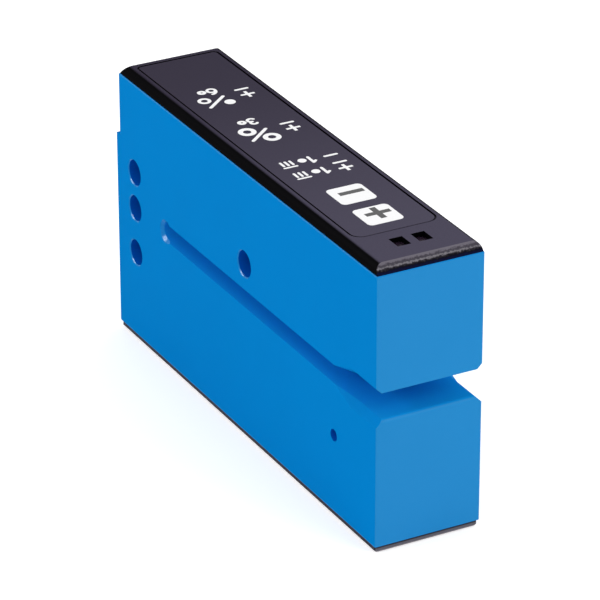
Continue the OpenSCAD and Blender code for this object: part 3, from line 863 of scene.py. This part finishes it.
# %% The printed legend
THIN = 0.5
BOLD = 0.56
HEAVY = 0.8
SMALL_RING = 0.46
MINUS_LONG = 2.5
PLUS_TALL = 2.3
PLUS_WIDE = 2.4
legend = bmesh.new()


def minus_mark(x, y):
    bar(legend, x, y, MINUS_LONG, THIN)


def plus_mark(x, y):
    cross(legend, x, y, PLUS_TALL, PLUS_WIDE, THIN)


figure(legend, 6, 18.4, -0.9)
ring(legend, 18.1, -2.6, SMALL_RING, BOLD)
ring(legend, 21.2, -3.7, 0.82, BOLD)
stroke(legend, [(-1.85, -1.55), (1.85, 1.55)], 22.4, -2.1, BOLD)
disc(legend, 23.3, -0.25, 0.9)
minus_mark(19.7, 3.6)
plus_mark(21.9, 3.6)
figure(legend, 3, 31.7, -0.7)
ring(legend, 31.4, -2.4, SMALL_RING, BOLD)
ring(legend, 34.9, -3.3, 1.05, HEAVY)
stroke(legend, [(-1.9, -1.6), (1.9, 1.6)], 36.7, -2.1, BOLD)
ring(legend, 38.3, -0.75, 1.05, HEAVY)
minus_mark(34.65, 3.75)
plus_mark(36.8, 3.73)
for line_x in (48.6, 53.0):
    figure(legend, 1, line_x, 0.6)
    disc(legend, line_x - 0.35, -0.9, 0.7)
    pulse(legend, line_x, -3.5)
minus_mark(48.5, 3.9)
minus_mark(51.36, 3.9)
plus_mark(53.5, 3.79)
finish_piece(legend, "legend_print", [], "key_foil", WHITE_INK)

# %% [markdown]
# The two keys are pale printed fields with a grey minus and plus. A field is a rounded square,
# and its sign is printed over it, so the sign stands a little higher.

# %% Key fields
FIELD_LONG = 5.85
FIELD_WIDE = 6.0
FIELD_CORNER = 0.8
FIELD_Y = -0.15
SECOND_PRINT = 0.012


def rounded(x, y, long, wide, r, steps=8):
    right = x + long / 2 - r
    left = x - long / 2 + r
    upper = y + wide / 2 - r
    lower = y - wide / 2 + r
    out = []
    for cx, cy, start in ((right, upper, 0), (left, upper, 90), (left, lower, 180), (right, lower, 270)):
        out += arc(cx, cy, r, r, start, start + 90, steps)
    return out


fields = bmesh.new()
for key_x in (62.35, 70.45):
    ink_solid(fields, rounded(key_x, FIELD_Y, FIELD_LONG, FIELD_WIDE, FIELD_CORNER))
finish_piece(fields, "key_fields", [], "key_foil", WHITE_INK)

signs = bmesh.new()
minus_sign = [(61.17, -1.9), (62.23, -1.9), (62.23, 2.29), (61.17, 2.29)]
ink_solid(signs, minus_sign, SECOND_PRINT)
cross(signs, 69.9, 0.15, 3.9, 4.2, 1.0, SECOND_PRINT)
finish_piece(signs, "key_signs", [], "key_foil", GREY_INK)

# %% [markdown]
# The plug carries a metric thread of one millimetre pitch. A thread is a ridge that climbs along
# a helix, so the shell is a grid turned around the axis, and the radius of each point
# depends on how far it lies along the helix. The bevel at the end lets a nut find its start.

# %% Threaded plug
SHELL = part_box("connector_shell")
PLUG_Z = (SHELL[0].z + SHELL[1].z) / 2 / MM
PLUG_END = SHELL[0].x / MM - REAR
PLUG_BACK = SHELL[1].x / MM - REAR
AROUND = 72
PITCH = 1.0
ROOT = 3.45
RIDGE = 0.55
FLANK = 2.4
ROOT_FLAT = 0.1
START = 3.5
START_LONG = 0.5


def thread_radius(x, share):
    turn = ((x - PLUG_END) / PITCH - share) % 1.0
    ridge = min(1.0, max(0.0, FLANK * abs(turn - 0.5) - ROOT_FLAT))
    start = min(START_LONG, x - PLUG_END)
    return min(ROOT + RIDGE * ridge, START + start)


print(f"thread from {ROOT:.2f} to {ROOT + RIDGE:.2f} mm in radius")

# %% [markdown]
# The shell's profile runs along the outside, from the open end over the thread and its relief, the
# flange, the seat in the wall with the groove for the rubber ring, to the back. The bore closes it.

# %% Shell of the plug
BORE = 3.05
LIP = 3.35
LEAD = 0.02
THREAD_LONG = 5.66
RELIEF = 3.4
FLANGE = 4.8
FLANGE_EDGE = 4.7
SEAT = 4.0
GROOVE = 3.35


def shell_profile(steps=64):
    rows = [(PLUG_END, BORE), (PLUG_END, LIP)]
    for k in range(steps + 1):
        rows.append((PLUG_END + LEAD + k * (THREAD_LONG - LEAD) / steps, None))
    rows += [(-0.8, RELIEF), (0.2, RELIEF)]
    rows += [(0.2, FLANGE_EDGE), (0.3, FLANGE), (1.3, FLANGE), (1.4, FLANGE_EDGE)]
    rows += [(1.4, SEAT), (2.85, SEAT), (2.85, GROOVE), (3.95, GROOVE), (3.95, SEAT)]
    rows += [(PLUG_BACK, SEAT), (PLUG_BACK, BORE)]
    return rows


shell = bmesh.new()
loops = []
for x, r in shell_profile():
    loop = []
    for k in range(AROUND):
        t = 2 * math.pi * k / AROUND
        radius = thread_radius(x, k / AROUND) if r is None else r
        loop.append(shell.verts.new((x, radius * math.cos(t), PLUG_Z + radius * math.sin(t))))
    loops.append(loop)
join_rows(shell, loops)
finish_piece(shell, "threaded_shell", ["connector_shell"], "plug_metal", NICKEL, smooth=40)

# %% [markdown]
# The pieces inside keep their exact solids. They only need their finishes, which show when the part
# is opened or seen through its openings.

# %% Finishes of the inner pieces
DRESS = {
    RUBBER: ["cover_seal", "plate_seal", "connector_o_ring", "receiver_sleeve",
             "transmitter_sleeve"],
    CARRIER: ["connector_insert"],
    GOLD: ["contact_pin_1", "contact_pin_2", "contact_pin_3", "contact_pin_4"],
    BOARD: ["connector_board", "main_board", "lower_board"],
    SHEATH: ["link_cable"],
    CAN: ["receiver_capsule", "transmitter_capsule"],
    SWITCH: ["minus_switch_body", "plus_switch_body"],
    STEM: ["minus_switch_stem", "plus_switch_stem"],
    LAMP: ["status_led_1", "status_led_2"],
    TINT: ["light_pipe_1", "light_pipe_2"],
    CHIP: ["controller_chip", "output_driver"],
    POTTED: ["drive_transformer"],
}
for finish, names in DRESS.items():
    for name in names:
        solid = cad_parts[name]
        solid.data.materials.clear()
        solid.data.materials.append(finish)
print("inner pieces dressed:", sum(len(names) for names in DRESS.values()))

# %% [markdown]
# The sensor stands on a pale sheet in soft, even light. The sheet looks white to the eye and in
# reflections, and keeps a soft shadow. The same is done with the surroundings: seen directly they are
# white, but they light the object at a lower level.

# %% Pale floor
def seen_directly(wire):
    rays = [wire.add("LightPath", {}, out=name)
            for name in ("Is Camera Ray", "Is Glossy Ray", "Is Transmission Ray")]
    return wire.math("MINIMUM", rays[0] + rays[1] + rays[2], 1.0)


PAPER, place = begin("pale_sheet")
seen = seen_directly(place)
grain = noise(place, 900.0, 2.0)
matt = place.add("BsdfDiffuse", {
    "Color": blend_colour(grain, (0.88, 0.88, 0.88), (0.90, 0.90, 0.90))})
glow = place.add("Emission", {"Color": (1, 1, 1, 1), "Strength": 0.38 * seen})
place.add("OutputMaterial", {"Surface": place.add("AddShader", {0: matt, 1: glow})})

FLOOR_HALF = 3.0
FLOOR_DROP = 0.00002
sheet = bmesh.new()
bmesh.ops.create_grid(sheet, x_segments=8, y_segments=8, size=FLOOR_HALF)
floor_mesh = bpy.data.meshes.new("pale_floor")
sheet.to_mesh(floor_mesh)
sheet.free()
floor_mesh.materials.append(PAPER)
floor = bpy.data.objects.new("pale_floor", floor_mesh)
floor.location.z = -FLOOR_DROP
bpy.context.scene.collection.objects.link(floor)
print("floor", floor.dimensions.x, "m wide")

# %% [markdown]
# Most of the light comes from all around. A large soft lamp before the mouth gives the cover's front
# slope its grainy highlight, and a second one, further off, lifts the long side. A third lamp shows only
# in glossy reflections: it puts the small glints on edges and holes, and leaves matt paint as it is.

# %% Lamps and surroundings
AMBIENT = 0.85
world = bpy.data.worlds.new("soft_studio")
world.use_nodes = True
world.node_tree.nodes.clear()
sky = Wire(world.node_tree)
light = AMBIENT + (1 - AMBIENT) * seen_directly(sky)
sky.add("OutputWorld", {"Surface": sky.add("Background", {"Color": (1, 1, 1, 1),
                                                          "Strength": light})})
bpy.context.scene.world = world
AIM = Vector((0, 0, 0.03))


def soft_lamp(name, towards, distance, size, power, lights_matt=True):
    data = bpy.data.lights.new(name, "AREA")
    data.shape = "SQUARE"
    data.size = size
    data.energy = power
    lamp = bpy.data.objects.new(name, data)
    lamp.location = AIM + Vector(towards).normalized() * distance
    lamp.rotation_euler = (AIM - lamp.location).to_track_quat("-Z", "Y").to_euler()
    lamp.visible_diffuse = lights_matt
    bpy.context.scene.collection.objects.link(lamp)
    print(name, "at", [round(v, 2) for v in lamp.location])


soft_lamp("front_lamp", (0.74, 0.40, 0.54), 0.45, 0.22, 0.55)
soft_lamp("side_lamp", (-0.08, -0.81, 0.56), 0.8, 0.16, 1.25)
soft_lamp("glint_lamp", (-0.32, -0.72, 0.60), 0.8, 0.5, 18.0, False)

# %% [markdown]
# The camera stands far off with a long lens, as in product photographs, so the upright edges stay
# nearly parallel. Its direction is given as an angle around the object and one above the floor, and
# its place in metres.

# %% Camera
AZIMUTH = math.radians(61.726)
ELEVATION = math.radians(26.448)
ROLL = math.radians(-0.06)
STAND = (0.497776, -0.264439, 0.300307)
back = Vector((math.sin(AZIMUTH) * math.cos(ELEVATION), -math.cos(AZIMUTH) * math.cos(ELEVATION),
               math.sin(ELEVATION)))
lens = bpy.data.cameras.new("product_camera")
lens.lens = 241.43
lens.sensor_width = 36.0
lens.clip_start = 0.02
camera = bpy.data.objects.new("product_camera", lens)
camera.location = STAND
turned = back.to_track_quat("Z", "Y").to_matrix() @ Matrix.Rotation(ROLL, 3, "Z")
camera.rotation_euler = turned.to_euler()
bpy.context.scene.collection.objects.link(camera)
bpy.context.scene.camera = camera
bpy.context.scene.view_settings.view_transform = "Standard"
print("camera", round(camera.location.length, 3), "m from the object")
